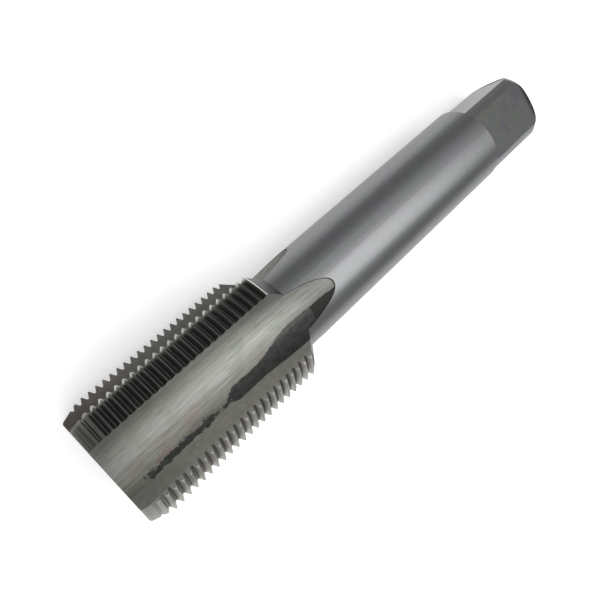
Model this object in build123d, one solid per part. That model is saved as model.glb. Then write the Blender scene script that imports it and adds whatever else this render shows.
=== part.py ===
from build123d import *
from math import acos, atan2, ceil, cos, degrees, radians, sin, sqrt, tan
import os

# Straight-flute hand tap, M33 x 2 with a left-hand thread: one solid of tool steel.
#
# Millimetres. The tap is drawn level, its axis along +X from the cutting end at x = 0
# to the driving square, with the middle of one flute straight up. Angles about the axis
# count from straight up and are right-handed about +X, so a left-hand thread moves
# towards the cutting end as the angle grows. At the end it is laid down the way such a
# tap rests on a bench: a flute straight down, standing on the corners of its two lower
# lands and on its shank, with the origin under the middle of it.

os.makedirs("parts", exist_ok=True)

# ---- driving dimensions ----------------------------------------------------------
thread_diameter = 33.0         # major diameter of the cutting thread
pitch = 2.0                    # single start, left-hand
thread_length = 48.0           # cutting end to the end of the full thread
lead_length = 5.3              # tapered lead at the cutting end
lead_angle = 18.6              # slope of the lead against the axis
rear_bevel_angle = 48.0        # slope from the thread down to the shank

shank_diameter = 22.4
overall_length = 152.5
square_across_flats = 18.0     # driving square
square_length = 22.4
square_turn = 3.0              # turn of the square's flats past the flutes
end_rounding = 3.2             # round of the shank's end, cut through by the square
front_rounding = 0.8           # broken edge of the cutting end

flute_count = 4
land_angle = 27.1              # width of a land about the axis
rake_angle = 15.0              # hook of the cutting face at its edge
heel_angle = 3.6               # how far the heel face leans out from a radius
heel_corner_radius = 9.71      # from the axis to the corner of flute floor and heel
heel_corner_fillet = 6.0       # soft round between the two
flute_straight_length = 42.0   # from the cutting end to where the flutes lift out
flute_wheel_radius = 72.0      # grinding wheel, sets how fast a flute runs out

crest_share = 1 / 8            # flat of a tooth's crest, as a share of the pitch
depth_share = 0.6134           # depth of the thread, as a share of the pitch
flank_angle = 30.0             # slope of each side of a tooth
crest_place = 1.845            # where a crest crosses the line straight up

centre_pilot_diameter = 4.0    # centre holes in both ends
centre_pilot_depth = 7.4
centre_mouth_diameter = 8.5
centre_slope_angle = 30.0

clearance = 1.0                # how far a cutting tool reaches past the metal
groove_overrun = 5.0           # how far it runs on past each side of a land

# ---- sizes that follow -----------------------------------------------------------
thread_radius = thread_diameter / 2
shank_radius = shank_diameter / 2
thread_depth = depth_share * pitch
root_radius = thread_radius - thread_depth
lead_radius = thread_radius - lead_length * tan(radians(lead_angle))
rear_bevel_length = (thread_radius - shank_radius) / tan(radians(rear_bevel_angle))
square_start = overall_length - square_length
flute_step = 360 / flute_count
flute_half_angle = (flute_step - land_angle) / 2


def blank():
    """The turned blank: lead, threaded body, rear bevel and shank, round at both ends."""
    outline = Polyline(
        (0, 0),
        (0, lead_radius),
        (lead_length, thread_radius),
        (thread_length, thread_radius),
        (thread_length + rear_bevel_length, shank_radius),
        (overall_length, shank_radius),
        (overall_length, 0),
        close=True,
    )
    turned = revolve(make_face(outline), axis=Axis.X)
    end_edge = turned.edges().filter_by(GeomType.CIRCLE).sort_by(Axis.X)[-1]
    turned = fillet(end_edge, end_rounding)
    front_edge = turned.edges().filter_by(GeomType.CIRCLE).sort_by(Axis.X)[0]
    return fillet(front_edge, front_rounding)


def centre_hole():
    """A centre with its pilot, opening at the origin and running along +X."""
    pilot_radius = centre_pilot_diameter / 2
    mouth_radius = centre_mouth_diameter / 2
    slope = tan(radians(centre_slope_angle))
    outline = Polyline(
        (-clearance, 0),
        (-clearance, mouth_radius + clearance * slope),
        ((mouth_radius - pilot_radius) / slope, pilot_radius),
        (centre_pilot_depth, pilot_radius),
        (centre_pilot_depth + pilot_radius * slope, 0),
        close=True,
    )
    return revolve(make_face(outline), axis=Axis.X)


def square_mill():
    """The block of metal above the upper flat of the driving square."""
    length = square_length + clearance
    height = shank_radius
    centre = (square_start + length / 2, 0, (square_across_flats + height) / 2)
    return Pos(*centre) * Box(length, 2 * shank_radius, height)


def flute_profile():
    """The flute across the axis, its first coordinate growing with the angle: a hooked
    cutting face that runs as one arc into the floor, then the straight heel face."""
    half = radians(flute_half_angle)
    cutting_edge = Vector(-sin(half), cos(half)) * thread_radius
    heel_edge = Vector(sin(half), cos(half)) * thread_radius
    face_tilt = half - radians(rake_angle)
    face_inwards = Vector(sin(face_tilt), -cos(face_tilt))
    heel_tilt = half + radians(heel_angle)
    heel_inwards = Vector(-sin(heel_tilt), -cos(heel_tilt))

    # the heel face stops at heel_corner_radius from the axis
    reach = -heel_edge.dot(heel_inwards)
    heel_length = reach - sqrt(reach**2 - thread_radius**2 + heel_corner_radius**2)
    corner = heel_edge + heel_inwards * heel_length

    face_top = cutting_edge - face_inwards * 4 * clearance
    heel_top = heel_edge - heel_inwards * 4 * clearance
    outline = [
        Line(face_top, cutting_edge),
        TangentArc(cutting_edge, corner, tangent=face_inwards),
        Line(corner, heel_top),
        Line(heel_top, face_top),
    ]
    profile = make_face(outline)
    corner_vertex = profile.vertices().sort_by_distance(corner)[0]
    return fillet(corner_vertex, heel_corner_fillet)


def flute_cutter():
    """The space of the upper flute: straight along the body, then lifting out of the
    shank along the rim of the grinding wheel."""
    across = Plane(origin=(0, 0, 0), x_dir=(0, -1, 0), z_dir=(-1, 0, 0))
    profile = across * flute_profile()
    floor_height = profile.bounding_box().min.Z
    straight = extrude(
        Pos(X=-clearance) * profile,
        amount=flute_straight_length + clearance,
        dir=(1, 0, 0),
    )
    arbor_height = floor_height + flute_wheel_radius
    lift = degrees(acos((arbor_height - thread_radius - clearance) / flute_wheel_radius))
    run_out = revolve(
        Pos(X=flute_straight_length) * profile,
        axis=Axis((flute_straight_length, 0, arbor_height), (0, -1, 0)),
        revolution_arc=lift,
    )
    return straight + run_out


def thread_groove(sweep_angle):
    """A piece of the left-hand thread groove with its middle at x = 0 straight up."""
    slope = tan(radians(flank_angle))
    rise = clearance / 8
    half_mouth = pitch * (1 - crest_share) / 2
    half_root = half_mouth - thread_depth * slope
    half_top = half_mouth + rise * slope
    form = Polyline(
        (-half_root, 0),
        (-half_top, thread_depth + rise),
        (half_top, thread_depth + rise),
        (half_root, 0),
        close=True,
    )
    start = Plane(origin=(root_radius, 0, 0), x_dir=(0, 0, 1), z_dir=(0, 1, 0))
    rise_along = pitch * sweep_angle / 360
    helix = Helix(pitch=pitch, height=rise_along, radius=root_radius, lefthand=True)
    groove = sweep(start * make_face(form), path=helix, is_frenet=True)
    # from round the Z axis, starting at its +X side, to round the X axis, middle up
    return Pos(X=-rise_along / 2) * Rot(X=180 + sweep_angle / 2) * Rot(Y=90) * groove


def land_grooves(land):
    """All the grooves of one land, as the one thread runs through it."""
    angle = flute_step * (land + 0.5)
    groove = thread_groove(land_angle + 2 * groove_overrun)
    first = crest_place + pitch / 2 - pitch * angle / 360
    first -= pitch * ceil(first / pitch)
    count = ceil((thread_length + thread_depth - first) / pitch) + 1
    return [Pos(X=first + pitch * turn) * Rot(X=angle) * groove for turn in range(count)]


tap = blank() - centre_hole() - Pos(X=overall_length) * Rot(Z=180) * centre_hole()
for side in range(4):
    tap -= Rot(X=square_turn + 90 * side) * square_mill()
for flute in range(flute_count):
    tap -= Rot(X=flute_step * flute) * flute_cutter()
for land in range(flute_count):
    tap -= land_grooves(land)

# laid down: the land corners at the end of the thread and the shank's last full round
drop = thread_radius * cos(radians(flute_half_angle)) - shank_radius
tilt = degrees(atan2(drop, square_start - thread_length))
tap = Rot(Y=tilt) * tap
box = tap.bounding_box()
tap = Pos(-box.center().X, -box.center().Y, -box.min.Z) * tap
tap.label = "thread_tap"

export_step(tap, "parts/thread_tap.step")
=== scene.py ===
from math import atan2, cos, pi, radians, sin
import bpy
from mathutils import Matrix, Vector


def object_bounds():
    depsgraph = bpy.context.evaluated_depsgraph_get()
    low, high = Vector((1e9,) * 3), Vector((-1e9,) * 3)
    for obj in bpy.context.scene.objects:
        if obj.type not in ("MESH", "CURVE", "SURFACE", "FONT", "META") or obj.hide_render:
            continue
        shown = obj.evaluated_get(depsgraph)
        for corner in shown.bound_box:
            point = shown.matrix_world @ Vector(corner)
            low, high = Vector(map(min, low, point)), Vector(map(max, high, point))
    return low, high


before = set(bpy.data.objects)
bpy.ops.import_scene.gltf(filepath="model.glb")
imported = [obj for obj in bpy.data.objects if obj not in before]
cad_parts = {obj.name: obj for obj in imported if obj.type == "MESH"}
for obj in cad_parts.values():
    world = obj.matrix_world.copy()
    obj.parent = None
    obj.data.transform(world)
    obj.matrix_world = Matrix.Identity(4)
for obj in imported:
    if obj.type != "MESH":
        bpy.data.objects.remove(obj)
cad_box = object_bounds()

from types import SimpleNamespace

import bpy
from mathutils import Matrix, Vector

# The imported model's frame: metres, +X from the tap's cutting end to its driving square,
# +Z up, the floor at z = 0. Lengths on the tap itself are in millimetres.
MM = 0.001

# ---- the tap's own sizes, as the model has them (mm) ---------------------------------
THREAD_RADIUS = 16.5
ROOT_RADIUS = 15.27
LEAD_LENGTH = 5.3
LEAD_RADIUS = 14.72
LAND_RADIUS = 14.3             # the lands are outside this, and the flutes inside
THREAD_END = 48.0
BEVEL_END = 52.7
FLUTE_STRAIGHT = 42.0          # where the flutes lift out, along the wheel's arc
WHEEL_RADIUS = 72.0
FLUTE_END = 65.2
FLUTE_HALF_ANGLE = radians(31.45)
FLOOR_CENTRE = (0.32, 16.71)   # of the arc of a flute's floor: sideways and outwards
FLOOR_RADIUS = 9.31
SHANK_RADIUS = 11.2
SQUARE_START = 130.1
OVERALL = 152.5
CENTRE_RADIUS = 4.4            # just past the mouth of the centre holes
FRONT_ROUND_END = 1.4          # just past the round of the cutting end
CORNER_RADIUS = 10.6           # the round corners of the square are outside this
HEEL_RADIUS = 8.7              # and the heel faces outside this
MIDDLE = 76                    # along the tap, where the lamps point

# it lies on its land corners and its shank, so its axis dips towards the square
corner_height = THREAD_RADIUS * cos(FLUTE_HALF_ANGLE)
TILT = atan2(corner_height - SHANK_RADIUS, SQUARE_START - THREAD_END)
AXIS_START = Vector((
    cad_box[0].x + LEAD_RADIUS * cos(FLUTE_HALF_ANGLE) * sin(TILT) * MM,
    0,
    (THREAD_END * sin(TILT) + corner_height * cos(TILT)) * MM,
))

# ---- camera, fitted to the photograph ------------------------------------------------
CAMERA_PLACE = Vector((-70.978, 35.120, 154.678)) * MM
CAMERA_AIM = Vector((-16.285, -1.151, 13.0)) * MM
CAMERA_UP = Vector((0.62410, 0.78026, 0.04117))
SENSOR_WIDTH = 36
LENS = 37.51
CLIP_START = 0.001
CLIP_END = 20

# ---- room (metres, linear colours) ---------------------------------------------------
WHITE = (1, 1, 1)
ROOM_GREY = (0.31, 0.314, 0.314)
FILL_COLOUR = (0.98, 0.99, 1)
FLOOR_HALF = 2.0
FLOOR_COLOUR = (0.7, 0.7, 0.7)
FLOOR_ROUGHNESS = 0.8
GLOW_GROWS = (0.2, 1.2)        # how far out the floor's glow starts and stops growing
GLOW = (0.42, 1.0)             # how strong it is before and after
MIRRORED_STRIP = (0.05, 0.13)  # where the mirrored glow fades, to each side of the tap

# ---- colours of the steel (linear) ---------------------------------------------------
SHANK_GREEN = (0.218, 0.222, 0.219)
SHANK_BLUE = (0.221, 0.223, 0.230)
FLUTE_STEEL = (0.322, 0.325, 0.300)
FLUTE_DARK = (0.266, 0.255, 0.226)
WARM_TINT = (0.269, 0.231, 0.188)
ROSE_TINT = (0.265, 0.215, 0.195)
PURPLE_TINT = (0.237, 0.215, 0.220)
GREEN_TINT = (0.250, 0.273, 0.225)
HEEL_STEEL = (0.343, 0.345, 0.311)
HEEL_BROWN = (0.337, 0.318, 0.292)
FACET_STEEL = (0.390, 0.375, 0.352)
WALL_BROWN = (0.165, 0.145, 0.134)
WALL_OLIVE = (0.160, 0.162, 0.145)
SCALE_DARK = (0.050, 0.053, 0.049)
SCALE_GREY = (0.106, 0.110, 0.107)
THREAD_BLACK = (0.072, 0.079, 0.072)
THREAD_GREY = (0.110, 0.117, 0.107)
THREAD_WORN = (0.383, 0.372, 0.338)
THREAD_PALE = (0.418, 0.410, 0.382)
# painted shade for the thread roots, brown
ROOT_PAINTED_SHADE = (0.035, 0.030, 0.026)
CREST_STEEL = (0.22, 0.22, 0.205)
BEVEL_STEEL = (0.144, 0.149, 0.144)
BEVEL_GREY = (0.14, 0.142, 0.142)
FACE_STEEL = (0.15, 0.15, 0.142)
FACE_WARM = (0.17, 0.168, 0.155)
SQUARE_STEEL = (0.120, 0.122, 0.126)
SQUARE_OLIVE = (0.113, 0.119, 0.103)
SQUARE_PURPLE = (0.105, 0.103, 0.119)
SQUARE_LIGHT = (0.42, 0.43, 0.42)
# painted light: the square's round corners made lighter against the dark room that they
# mirror
CORNER_PAINTED_LIGHT = (0.25, 0.253, 0.258)
EDGE_DARK = (0.04, 0.042, 0.038)
# painted highlight on the sharp edges of the teeth
PAINTED_EDGE_HIGHLIGHT = (0.750, 0.750, 0.705)
# painted shade in the centre holes
CENTRE_HOLE_SHADE = (0.08, 0.08, 0.075)

# ---- where the wear, the stains and the painted light are ----------------------------
# angles round the axis, from straight up towards -Y
DRAG_LINE = (radians(-12.6), radians(-11.4))
UPPER_FLUTE = (-0.7, 0.7)
BROWN_WALL = (radians(-132), radians(-112))
# the paler land: partly wear and partly painted light
WORN_AND_LIT_LAND = (radians(25), radians(65))
# the margin of the teeth beside a flute, where a highlight is painted
GLINT_MARGIN = (radians(36), radians(32))
SCALED_FLAT = (radians(-43), radians(43))
# mm along the axis
ROSE_ALONG = (4.0, 23.0)
FRONT = (0.0, 9.0)
HEEL_FRONT = (0.0, 14.0)
DARKER_FRONT = (8.0, 40.0)
WALL_TURNS_OLIVE = (8.0, 30.0)
STRIP_START = 5.3
STRIP_NECK = (23.5, 28.0)
STRIP_WIDENS = (27.5, 31.0)
HEEL_LINE_RISES = (36.0, 48.0)
STRIP_TOP_DROPS = (38.0, 50.0)
STRIP_FADES = (41.0, 46.0)
RUN_OUT = (46.0, 59.0)
DARK_PATCH = 57.0
# mm across a flute's floor, from its middle towards the heel
CUTTING_SIDE = (-5.2, -2.4)
FLUTE_MIDDLE = (-2.2, 0.4)
HEEL_SIDE = (2.6, 4.6)
TOWARDS_HEEL = (-0.5, 4.6)
ROSE_ACROSS = (0.4, 4.2)
HEEL_LINE = (5.8, 6.5)         # start of the heel face, before the strip widens and after
HEEL_LINE_RISE = 1.1           # how much further from the middle it is at the run-out
STRIP_TOP = (4.15, 2.95)       # upper edge of the strip, before it widens and after
STRIP_TOP_DROP = 1.95          # how much nearer the middle it is at the run-out
STRIP_TOP_RAGGED = (0.75, 0.22)
STRIP_BOTTOM_RAGGED = (0.7, 0.15)
STRIP_EDGE = (-0.1, 0.12)
STRIP_FADED = (1.6, 2.9)
# mm from the axis
BROWN_WALL_RADIUS = 12.5
LAST_TOOTH_EDGE = (15.6, 16.1)

# ---- how the surfaces shine ----------------------------------------------------------
ROUGHNESS = (0.33, 0.37)
FLUTE_ROUGHER = 0.2
HEEL_ROUGHER = 0.1
STRIP_ROUGHER = 0.22
LAND_ROUGHER = 0.14
FLAT_ROUGHER = 0.24
EDGE_TINT = (0.85, 0.85, 0.85)

# ---- how deep the marks are (mm) -----------------------------------------------------
GROUND_DEPTH = 0.004
BRUSHED_DEPTH = 0.02
FINE_BRUSHED_DEPTH = 0.006
STRIP_DEPTH = 0.03
TURNED_DEPTH = 0.012
THREAD_DEPTH = 0.006
BLOTCH_DEPTH = 0.01
SPECK_DEPTH = 0.003


def on_tap(along, angle, away):
    """A place given by the tap, in mm: along its axis from the cutting end, at an angle
    round the axis from straight up towards -Y, and away from the axis."""
    level = Vector((along, -away * sin(angle), away * cos(angle))) * MM
    return AXIS_START + Matrix.Rotation(TILT, 3, "Y") @ level


def add_object(name, data):
    thing = bpy.data.objects.new(name, data)
    bpy.context.scene.collection.objects.link(thing)
    return thing


# ---- camera and light ----------------------------------------------------------------
def make_camera():
    data = bpy.data.cameras.new("camera")
    data.sensor_width = SENSOR_WIDTH
    data.lens = LENS
    data.clip_start = CLIP_START
    data.clip_end = CLIP_END
    camera = add_object("camera", data)
    back = (CAMERA_PLACE - CAMERA_AIM).normalized()
    right = CAMERA_UP.cross(back).normalized()
    up = back.cross(right)
    turned = Matrix((right, up, back)).transposed().to_4x4()
    camera.matrix_world = Matrix.Translation(CAMERA_PLACE) @ turned
    bpy.context.scene.camera = camera


def area_light(name, angle, away, size, power, colour):
    """A softbox over the middle of the tap, pointing at it: away is in mm, and size in
    metres."""
    data = bpy.data.lights.new(name, "AREA")
    data.shape = "RECTANGLE"
    data.size, data.size_y = size
    data.energy = power
    data.color = colour
    light = add_object(name, data)
    light.location = on_tap(MIDDLE, angle, away)
    light.rotation_mode = "QUATERNION"
    towards = on_tap(MIDDLE, 0, 0) - light.location
    light.rotation_quaternion = towards.to_track_quat("-Z", "Y")


def make_lights():
    """The softbox makes the light streak along the shank, and the fill lights the rest."""
    area_light(
        "softbox", angle=radians(21), away=600, size=(1.1, 0.62), power=3.5, colour=WHITE
    )
    area_light("fill", angle=0, away=900, size=(1.9, 1.9), power=9.0, colour=FILL_COLOUR)


# ---- arithmetic on the surface -------------------------------------------------------
class Field:
    """A value that a material's nodes work out at each point of the surface."""

    def __init__(self, tree, socket):
        self.tree = tree
        self.socket = socket

    def put(self, socket, value):
        """Feeds a socket with a field, or sets it to a number or colour."""
        if isinstance(value, Field):
            self.tree.links.new(value.socket, socket)
        else:
            socket.default_value = value

    def node(self, kind, *values):
        """A new node with its first inputs set to fields or numbers."""
        node = self.tree.nodes.new(kind)
        for socket, value in zip(node.inputs, values):
            self.put(socket, value)
        return node

    def math(self, operation, *others):
        node = self.node("ShaderNodeMath", self, *others)
        node.operation = operation
        return Field(self.tree, node.outputs[0])

    def __add__(self, other):
        return self.math("ADD", other)

    def __sub__(self, other):
        return self.math("SUBTRACT", other)

    def __mul__(self, other):
        return self.math("MULTIPLY", other)

    def __truediv__(self, other):
        return self.math("DIVIDE", other)

    def times_plus(self, factor, more):
        return self.math("MULTIPLY_ADD", factor, more)

    def most(self, other):
        return self.math("MAXIMUM", other)

    def flip(self):
        """One minus this."""
        return self.times_plus(-1.0, 1.0)

    def line(self, start, end, low, high):
        """A straight change from low at start to high at end, held outside."""
        node = self.node("ShaderNodeMapRange", self, start, end, low, high)
        return Field(self.tree, node.outputs[0])

    def step(self, start, end, low=0.0, high=1.0):
        """The same as line, as a smooth step."""
        node = self.node("ShaderNodeMapRange", self, start, end, low, high)
        node.interpolation_type = "SMOOTHSTEP"
        return Field(self.tree, node.outputs[0])

    def above(self, place, soft):
        """One past the place, and nothing before it, with an edge soft to each side."""
        return self.step(place - soft, place + soft)

    def below(self, place, soft):
        return self.step(place - soft, place + soft, 1.0, 0.0)

    def band(self, start, end, soft):
        """One between start and end, and nothing outside, with soft edges."""
        return self.above(start, soft) * self.below(end, soft)

    def between(self, low, high):
        """For a mask: low where it is nothing, and high where it is one."""
        return self.line(0.0, 1.0, low, high)

    def vary(self, low, high, reach=0.2):
        """For noise, which lies mostly within reach of a half: spread over low to high."""
        return self.line(0.5 - reach, 0.5 + reach, low, high)

    def join(self, second, third):
        """A vector of this and two other fields."""
        node = self.node("ShaderNodeCombineXYZ", self, second, third)
        return Field(self.tree, node.outputs[0])

    def parts(self):
        """The three fields of a vector."""
        node = self.node("ShaderNodeSeparateXYZ", self)
        return [Field(self.tree, socket) for socket in node.outputs]

    def noise(self, scale, detail, roughness):
        """Cloudy noise over a vector, from 0 to 1 around a half."""
        node = self.node("ShaderNodeTexNoise", self)
        node.inputs["Scale"].default_value = scale
        node.inputs["Detail"].default_value = detail
        node.inputs["Roughness"].default_value = roughness
        return Field(self.tree, node.outputs["Fac"])

    def marks(self, second, third, detail, roughness):
        """Noise drawn out by the factors that this and the other two fields come with."""
        return self.join(second, third).noise(1.0, detail, roughness)

    def mix(self, low, high):
        """The colour low where this is nothing, and high where it is one."""
        node = self.tree.nodes.new("ShaderNodeMix")
        node.data_type = "RGBA"
        self.put(node.inputs[0], self)
        for socket, value in ((node.inputs[6], low), (node.inputs[7], high)):
            self.put(socket, value if isinstance(value, Field) else (*value, 1))
        return Field(self.tree, node.outputs[2])

    def shade(self, factor):
        """A colour made lighter or darker by a factor."""
        node = self.node("ShaderNodeVectorMath", self)
        node.operation = "SCALE"
        self.put(node.inputs["Scale"], factor)
        return Field(self.tree, node.outputs[0])


def add_material(name):
    """A material, with its node tree and its shader."""
    material = bpy.data.materials.new(name)
    material.use_nodes = True
    tree = material.node_tree
    return material, tree, tree.nodes["Principled BSDF"]


# ---- the room ------------------------------------------------------------------------
def make_world():
    """White where the camera sees it, and grey in the steel, for its dark bands."""
    world = bpy.data.worlds.new("studio")
    bpy.context.scene.world = world
    world.use_nodes = True
    tree = world.node_tree
    seen = Field(tree, tree.nodes.new("ShaderNodeLightPath").outputs["Is Camera Ray"])
    colour = seen.mix(ROOM_GREY, WHITE)
    tree.links.new(colour.socket, tree.nodes["Background"].inputs["Color"])


def make_floor():
    """White paper to the camera and, near the tap, in the steel. It keeps the shadow."""
    mesh = bpy.data.meshes.new("floor")
    half = FLOOR_HALF
    corners = [(-half, -half, 0), (half, -half, 0), (half, half, 0), (-half, half, 0)]
    mesh.from_pydata(corners, [], [(0, 1, 2, 3)])
    floor = add_object("floor", mesh)
    material, tree, shader = add_material("white_floor")
    ray = tree.nodes.new("ShaderNodeLightPath").outputs
    mirrored = Field(tree, ray["Is Glossy Ray"])
    mirrored = mirrored.most(Field(tree, ray["Is Transmission Ray"]))
    position = Field(tree, tree.nodes.new("ShaderNodeNewGeometry").outputs["Position"])
    lengthways, sideways, _ = position.parts()
    away = (lengthways * lengthways + sideways * sideways).math("SQRT")
    mirrored = mirrored * sideways.math("ABSOLUTE").step(*MIRRORED_STRIP, 1.0, 0.0)
    glow = mirrored.most(Field(tree, ray["Is Camera Ray"])) * away.line(*GLOW_GROWS, *GLOW)
    tree.links.new(glow.socket, shader.inputs["Emission Strength"])
    shader.inputs["Emission Color"].default_value = (*WHITE, 1)
    shader.inputs["Base Color"].default_value = (*FLOOR_COLOUR, 1)
    shader.inputs["Roughness"].default_value = FLOOR_ROUGHNESS
    mesh.materials.append(material)


# ---- the steel: where each surface is ------------------------------------------------
def tool_axes(tree):
    """The place on the tap in mm, and the surface's direction, both along its axes."""
    coordinates = tree.nodes.new("ShaderNodeTexCoord")
    place = tree.nodes.new("ShaderNodeMapping")
    place.vector_type = "TEXTURE"
    place.inputs["Location"].default_value = AXIS_START
    place.inputs["Rotation"].default_value = (0, TILT, 0)
    place.inputs["Scale"].default_value = (MM, MM, MM)
    tree.links.new(coordinates.outputs["Object"], place.inputs["Vector"])
    facing = tree.nodes.new("ShaderNodeMapping")
    facing.vector_type = "TEXTURE"
    facing.inputs["Rotation"].default_value = (0, TILT, 0)
    tree.links.new(coordinates.outputs["Normal"], facing.inputs["Vector"])
    return Field(tree, place.outputs[0]), Field(tree, facing.outputs[0])


def across_flute(along, radius, flute_angle):
    """How far a point is across the floor of the nearest flute, in mm of its arc: less
    than nothing towards the cutting face, and more towards the heel."""
    sideways = radius * flute_angle.math("SINE")
    outwards = radius * flute_angle.math("COSINE")
    run = (along - FLUTE_STRAIGHT).most(0.0)
    rise = (run * run).times_plus(-1.0, WHEEL_RADIUS ** 2).math("SQRT")
    below = (outwards * -1.0 - rise) + (FLOOR_CENTRE[1] + WHEEL_RADIUS)
    return (sideways - FLOOR_CENTRE[0]).math("ARCTAN2", below) * FLOOR_RADIUS


def find_surfaces(tree):
    """Where a point is on the tap, and masks that are one on their own surface."""
    place, facing = tool_axes(tree)
    along, side, height = place.parts()
    facing_along, facing_side, facing_height = facing.parts()
    radius = (side * side + height * height).math("SQRT")
    angle = (side * -1.0).math("ARCTAN2", height)
    outwards = (facing_side * side + facing_height * height) / radius
    around = (facing_height * side - facing_side * height) / radius
    flute_angle = angle.math("WRAP", pi / 4, -pi / 4)

    side_wall = around.math("ABSOLUTE").step(0.35, 0.5)
    on_land = radius.above(LAND_RADIUS, 0.1) * side_wall.flip()
    on_land = on_land * along.below(THREAD_END + 0.5, 0.2) * facing_along.step(-0.93, -0.9)
    front_face = facing_along.step(-0.88, -0.8, 1.0, 0.0)
    front_face = front_face * along.below(FRONT_ROUND_END, 0.2)
    bevel = facing_along.step(0.5, 0.6) * along.above(THREAD_END - 0.2, 0.2)
    bevel = bevel * along.below(BEVEL_END + 0.4, 0.1)
    on_shank = along.above(BEVEL_END - 0.25, 0.15)
    on_shank = on_shank * radius.step(SHANK_RADIUS - 0.12, SHANK_RADIUS - 0.05)
    in_flute = along.below(FLUTE_END + 0.75, 0.25) * on_shank.flip() * on_land.flip()
    in_flute = in_flute * bevel.flip() * front_face.flip()
    square = along.above(SQUARE_START, 0.1)
    corner = square * outwards.step(0.92, 0.96) * radius.above(CORNER_RADIUS, 0.1)
    end_face = facing_along.step(0.97, 0.99) * along.above(OVERALL - 0.2, 0.1)
    return SimpleNamespace(
        place=place,
        along=along,
        radius=radius,
        angle=angle,
        flute_angle=flute_angle,
        across=across_flute(along, radius, flute_angle),
        side_wall=side_wall,
        on_land=on_land,
        front_face=front_face,
        bevel=bevel,
        on_shank=on_shank,
        in_flute=in_flute,
        flat=square * corner.flip(),
        corner=corner,
        end_round=square * along.step(OVERALL - 2.4, OVERALL - 0.7),
        end_face=end_face,
        hole=radius.below(CENTRE_RADIUS, 0.1),
    )


def make_marks(at):
    """Noise: cloud, drift, blotch and speck are alike in every direction, and the rest
    is drawn out the way that its surface was worked."""
    along, across, angle, radius = at.along, at.across, at.angle, at.radius
    return SimpleNamespace(
        drift=at.place.noise(0.12, 3.0, 0.5),
        cloud=at.place.noise(0.16, 3.0, 0.6),
        blotch=at.place.noise(0.55, 4.0, 0.6),
        speck=at.place.noise(3.5, 3.0, 0.7),
        brush=(along * 0.05).marks(across * 1.3, angle, 5.0, 0.75),
        brush_fine=(along * 0.18).marks(across * 4.6, angle, 2.0, 0.6),
        ragged=(along * 0.9).marks(across * 1.2, angle, 5.0, 0.75),
        ground=(along * 5.0).marks(angle * 0.7, 0.0, 4.0, 0.75),
        shank=(along * 0.02).marks(angle * 9.0, 1.0, 3.0, 0.6),
        turned=(radius * 4.0).marks(angle * 0.4, 3.0, 4.0, 0.7),
        lead=(along * 2.2).marks(angle * 0.3, 5.0, 2.0, 0.6),
        thread=(along * 0.6).marks(angle * 60.0, 0.0, 3.0, 0.7),
        flank=(radius * 6.0).marks(angle * 1.5, along * 0.2, 3.0, 0.7),
    )


def find_heel(at):
    """Adds the line where the heel face starts, in mm across the flute, and its mask."""
    at.widening = at.along.step(*STRIP_WIDENS)
    rise = at.along.step(*HEEL_LINE_RISES, 0.0, HEEL_LINE_RISE)
    at.heel_line = at.widening.between(*HEEL_LINE) + rise
    past_line = (at.across - at.heel_line).above(0.0, 0.12)
    at.heel_face = past_line * at.radius.above(HEEL_RADIUS, 0.2)


def find_strip(at, marks):
    """Adds the mask of the scaled strip that the wheel left beside the heel: ragged chips
    at the front, a narrow neck, and then a band that widens towards the run-out."""
    along, across = at.along, at.across
    edge = marks.ragged.vary(-1.0, 1.0)
    neck = along.band(*STRIP_NECK, 1.2)
    top_drop = along.step(*STRIP_TOP_DROPS, 0.0, STRIP_TOP_DROP)
    top = at.widening.between(*STRIP_TOP) - top_drop
    top_edge = edge * at.widening.between(*STRIP_TOP_RAGGED)
    bottom_edge = edge * at.widening.between(*STRIP_BOTTOM_RAGGED)
    bottom = at.heel_line - neck * 0.5 + bottom_edge
    strip = (across - top - neck * 0.6 + top_edge).step(*STRIP_EDGE)
    strip = strip * (bottom - across).step(*STRIP_EDGE)
    start = (along + edge * 1.5).above(STRIP_START, 0.3)
    chips = (marks.ragged - neck * 0.06).above(0.35, 0.02).most(at.widening)
    at.strip = strip * start * chips


# ---- the steel: its colours ----------------------------------------------------------
def shank_colour(at, marks):
    """Plain ground steel with faint long marks and one drag line."""
    tone = marks.ground.vary(0.95, 1.05) * marks.shank.vary(0.96, 1.04)
    tone = tone * marks.speck.line(0.3, 0.75, 1.02, 0.98)
    drag = at.angle.band(*DRAG_LINE, 0.006) * marks.shank.step(0.35, 0.5)
    tone = tone * drag.between(1.0, 0.86)
    return marks.cloud.vary(0.0, 1.0, 0.15).mix(SHANK_GREEN, SHANK_BLUE).shade(tone)


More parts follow.
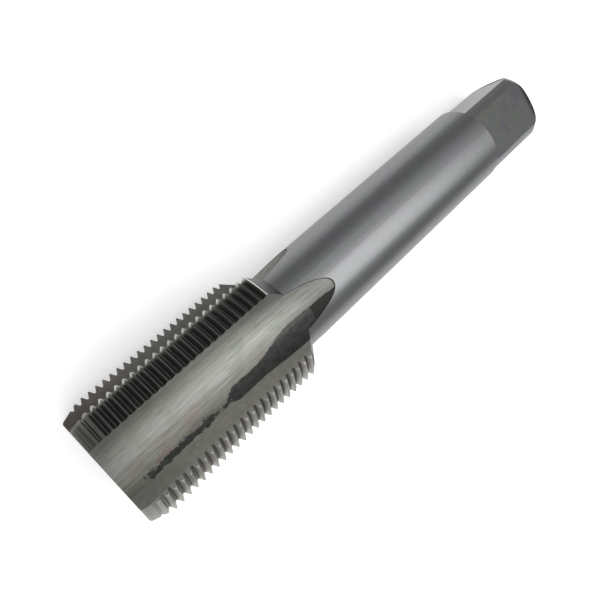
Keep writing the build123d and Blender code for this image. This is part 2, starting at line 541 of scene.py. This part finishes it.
def floor_colour(at, marks):
    """A flute's floor: brushed steel, darker and stained towards the heel, with painted
    light and shade across it.
    """
    along, across, cloud = at.along, at.across, marks.cloud
    heelward = (across + marks.blotch.vary(-0.7, 0.7)).step(*TOWARDS_HEEL)
    steel = heelward.mix(FLUTE_STEEL, FLUTE_DARK)
    steel = (heelward * cloud.step(0.48, 0.62) * 0.7).mix(steel, WARM_TINT)
    steel = (heelward * marks.drift.step(0.52, 0.64) * 0.6).mix(steel, PURPLE_TINT)
    rose = along.band(*ROSE_ALONG, 4.0) * across.band(*ROSE_ACROSS, 1.2)
    rose = rose * at.angle.band(*UPPER_FLUTE, 0.1) * cloud.step(0.3, 0.5)
    steel = (rose * 0.75).mix(steel, ROSE_TINT)
    steel = (cloud.step(0.5, 0.36) * 0.5).mix(steel, GREEN_TINT)

    # painted light and shade, lighter up both sides than in the middle; and darker at the
    # front and the run-out
    painted_light_and_shade = across.line(*CUTTING_SIDE, 1.5, 1.0) * across.line(*FLUTE_MIDDLE, 1.0, 0.72)
    painted_light_and_shade = painted_light_and_shade * across.line(*HEEL_SIDE, 1.0, 1.3) * along.line(*FRONT, 0.7, 1.0)
    painted_light_and_shade = painted_light_and_shade * (along - across * 1.5).line(*RUN_OUT, 1.0, 0.64)
    darker_front = along.line(*DARKER_FRONT, 0.32, 0.0) * across.step(0.5, 2.5, 1.0, 0.0)
    painted_light_and_shade = painted_light_and_shade * darker_front.flip()
    brushed = marks.brush.vary(0.87, 1.13, 0.15) * marks.brush_fine.vary(0.84, 1.16, 0.15)
    return steel.shade(brushed * painted_light_and_shade)


def wall_colours(at, marks, steel):
    """The heel faces, the facets of the teeth beside a flute, and the brown wall."""
    tone = marks.brush_fine.vary(0.93, 1.08) * marks.blotch.vary(0.88, 1.12)
    tone = tone * at.along.line(*HEEL_FRONT, 0.68, 1.0)
    steel = at.heel_face.mix(steel, marks.blotch.mix(HEEL_STEEL, HEEL_BROWN).shade(tone))
    facet = at.side_wall * at.radius.step(ROOT_RADIUS - 0.25, ROOT_RADIUS + 0.1)
    steel = (facet * at.across.step(0.0, 0.1)).mix(steel, FACET_STEEL)
    wall_steel = at.along.step(*WALL_TURNS_OLIVE).mix(WALL_BROWN, WALL_OLIVE).shade(tone)
    wall = at.angle.band(*BROWN_WALL, 0.03) * at.radius.above(BROWN_WALL_RADIUS, 0.5)
    return wall.mix(steel, wall_steel)


def strip_colours(at, steel):
    """The scaled strip, the dark patch at its end, and the dark rim of the run-out."""
    along, across = at.along, at.across
    dark_patch = (along + across * 0.3).above(DARK_PATCH, 0.2)
    faded = along.step(*STRIP_FADES) * across.step(*STRIP_FADED, 1.0, 0.0)
    faded = faded * dark_patch.flip()
    cover = (along * 0.5).join(across, at.angle).noise(1.2, 4.0, 0.7).vary(0.0, 1.0)
    scale = dark_patch.mix(cover.mix(SCALE_DARK, SCALE_GREY), SCALE_DARK)
    steel = (at.strip * faded.between(1.0, 0.55)).mix(steel, scale)
    rim = at.radius.above(SHANK_RADIUS - 0.21, 0.03) * along.above(BEVEL_END + 0.8, 0.5)
    return rim.mix(steel, EDGE_DARK)


def land_colour(at, marks):
    """Black teeth, bright along their crests, with a painted highlight on the margins
    beside the flutes, paler on one land, partly worn and partly painted light, and worn
    pale at the lead."""
    radius, flute_angle = at.radius, at.flute_angle
    crest = radius.step(THREAD_RADIUS - 0.16, THREAD_RADIUS - 0.05)
    root = radius.step(ROOT_RADIUS + 0.05, ROOT_RADIUS + 0.35, 1.0, 0.0)
    glint_margin = flute_angle.step(*GLINT_MARGIN) * flute_angle.step(0.0, 0.1)
    # paler on one land, partly from wear and partly painted light
    worn_and_lit = at.angle.band(*WORN_AND_LIT_LAND, 0.05).most(glint_margin * 0.35)
    pale = marks.thread.mix(THREAD_WORN, THREAD_PALE)
    thread = worn_and_lit.mix(marks.thread.mix(THREAD_BLACK, THREAD_GREY), pale)
    # painted highlight on the margin of the teeth beside the flute
    painted_glint = glint_margin * radius.step(ROOT_RADIUS + 0.2, THREAD_RADIUS - 0.3)
    thread = (painted_glint * 0.75).mix(thread, PAINTED_EDGE_HIGHLIGHT)
    thread = thread.shade(marks.flank.vary(0.72, 1.28, 0.15))
    # painted shade in the thread roots, weaker on the paler land
    thread = (root * worn_and_lit.between(0.3, 0.75)).mix(thread, ROOT_PAINTED_SHADE)
    thread = (crest * marks.thread.line(0.35, 0.6, 0.0, 0.3)).mix(thread, CREST_STEEL)
    lead_steel = marks.lead.vary(0.1, 0.45, 0.1).mix(THREAD_BLACK, THREAD_WORN)
    lead_steel = worn_and_lit.mix(lead_steel.shade(0.8), pale)
    lead = at.along.step(LEAD_LENGTH - 2.5, LEAD_LENGTH + 1.0, 1.0, 0.0)
    return (lead * 0.85).mix(thread, lead_steel)


def bevel_colour(at, marks):
    """Plain behind the thread, with a painted highlight on the edge at the last tooth."""
    tone = marks.turned.vary(0.9, 1.1) * marks.blotch.vary(0.88, 1.12)
    steel = marks.blotch.mix(BEVEL_STEEL, BEVEL_GREY).shade(tone)
    # painted highlight on the last tooth's edge
    return at.radius.step(*LAST_TOOTH_EDGE).mix(steel, PAINTED_EDGE_HIGHLIGHT)


def face_colour(marks):
    """The flat ends, with the rings of the turning tool."""
    return marks.blotch.mix(FACE_STEEL, FACE_WARM).shade(marks.turned.vary(0.82, 1.18))


def flat_colour(at, marks):
    """The square's flats: mottled with dark scale on the top one, and light elsewhere."""
    mottle = marks.blotch.step(0.38, 0.62).mix(SQUARE_STEEL, SQUARE_OLIVE)
    mottle = (marks.cloud.step(0.5, 0.62) * 0.8).mix(mottle, SQUARE_PURPLE)
    mottle = at.angle.band(*SCALED_FLAT, 0.03).mix(SQUARE_LIGHT, mottle)
    return mottle.shade(marks.speck.vary(0.93, 1.07))


def steel_colour(at, marks):
    """The shank's colour all over, with each other surface's finish laid on it."""
    flute = wall_colours(at, marks, floor_colour(at, marks))
    flute = strip_colours(at, flute)
    face = face_colour(marks)
    colour = shank_colour(at, marks)
    for mask, finish in (
        (at.in_flute, flute),
        (at.on_land, land_colour(at, marks)),
        (at.bevel, bevel_colour(at, marks)),
        (at.front_face, face),
        (at.flat, flat_colour(at, marks)),
        # painted light on the round corners
        (at.corner, CORNER_PAINTED_LIGHT),
        (at.end_round, EDGE_DARK),
        (at.end_face, face),
        # painted shade in the centre holes
        (at.hole, CENTRE_HOLE_SHADE),
    ):
        colour = mask.mix(colour, finish)
    return colour


# ---- the steel: its gloss and its relief ---------------------------------------------
def steel_roughness(at, marks):
    rough = marks.speck.vary(*ROUGHNESS)
    rough = at.in_flute.times_plus(FLUTE_ROUGHER, rough)
    rough = (at.in_flute * at.heel_face).times_plus(HEEL_ROUGHER, rough)
    rough = (at.in_flute * at.strip).times_plus(STRIP_ROUGHER, rough)
    rough = at.on_land.times_plus(LAND_ROUGHER, rough)
    return at.flat.times_plus(FLAT_ROUGHER, rough)


def steel_relief(at, marks):
    """How high the surface stands, in mm."""
    brushed = marks.brush * BRUSHED_DEPTH + marks.brush_fine * FINE_BRUSHED_DEPTH
    scaled = marks.speck * STRIP_DEPTH + STRIP_DEPTH
    mottled = marks.blotch * BLOTCH_DEPTH + marks.speck * SPECK_DEPTH
    relief = (marks.ground * GROUND_DEPTH) * at.on_shank
    relief = relief + brushed * at.in_flute
    relief = relief - scaled * (at.strip * at.in_flute)
    relief = relief + (marks.turned * TURNED_DEPTH) * (at.front_face + at.end_face)
    relief = relief + (marks.thread * THREAD_DEPTH) * at.on_land
    return relief + mottled * at.flat


def make_steel():
    material, tree, shader = add_material("tool_steel")
    at = find_surfaces(tree)
    marks = make_marks(at)
    find_heel(at)
    find_strip(at, marks)
    tree.links.new(steel_colour(at, marks).socket, shader.inputs["Base Color"])
    tree.links.new(steel_roughness(at, marks).socket, shader.inputs["Roughness"])
    shader.inputs["Metallic"].default_value = 1
    shader.inputs["Specular Tint"].default_value = (*EDGE_TINT, 1)
    bump = tree.nodes.new("ShaderNodeBump")
    bump.inputs["Strength"].default_value = 1
    bump.inputs["Distance"].default_value = MM
    tree.links.new(steel_relief(at, marks).socket, bump.inputs["Height"])
    tree.links.new(bump.outputs[0], shader.inputs["Normal"])
    return material


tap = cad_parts["thread_tap"]
steel = make_steel()
for slot in tap.material_slots:
    slot.material = steel

bpy.context.scene.view_settings.view_transform = "Standard"
make_camera()
make_lights()
make_world()
make_floor()
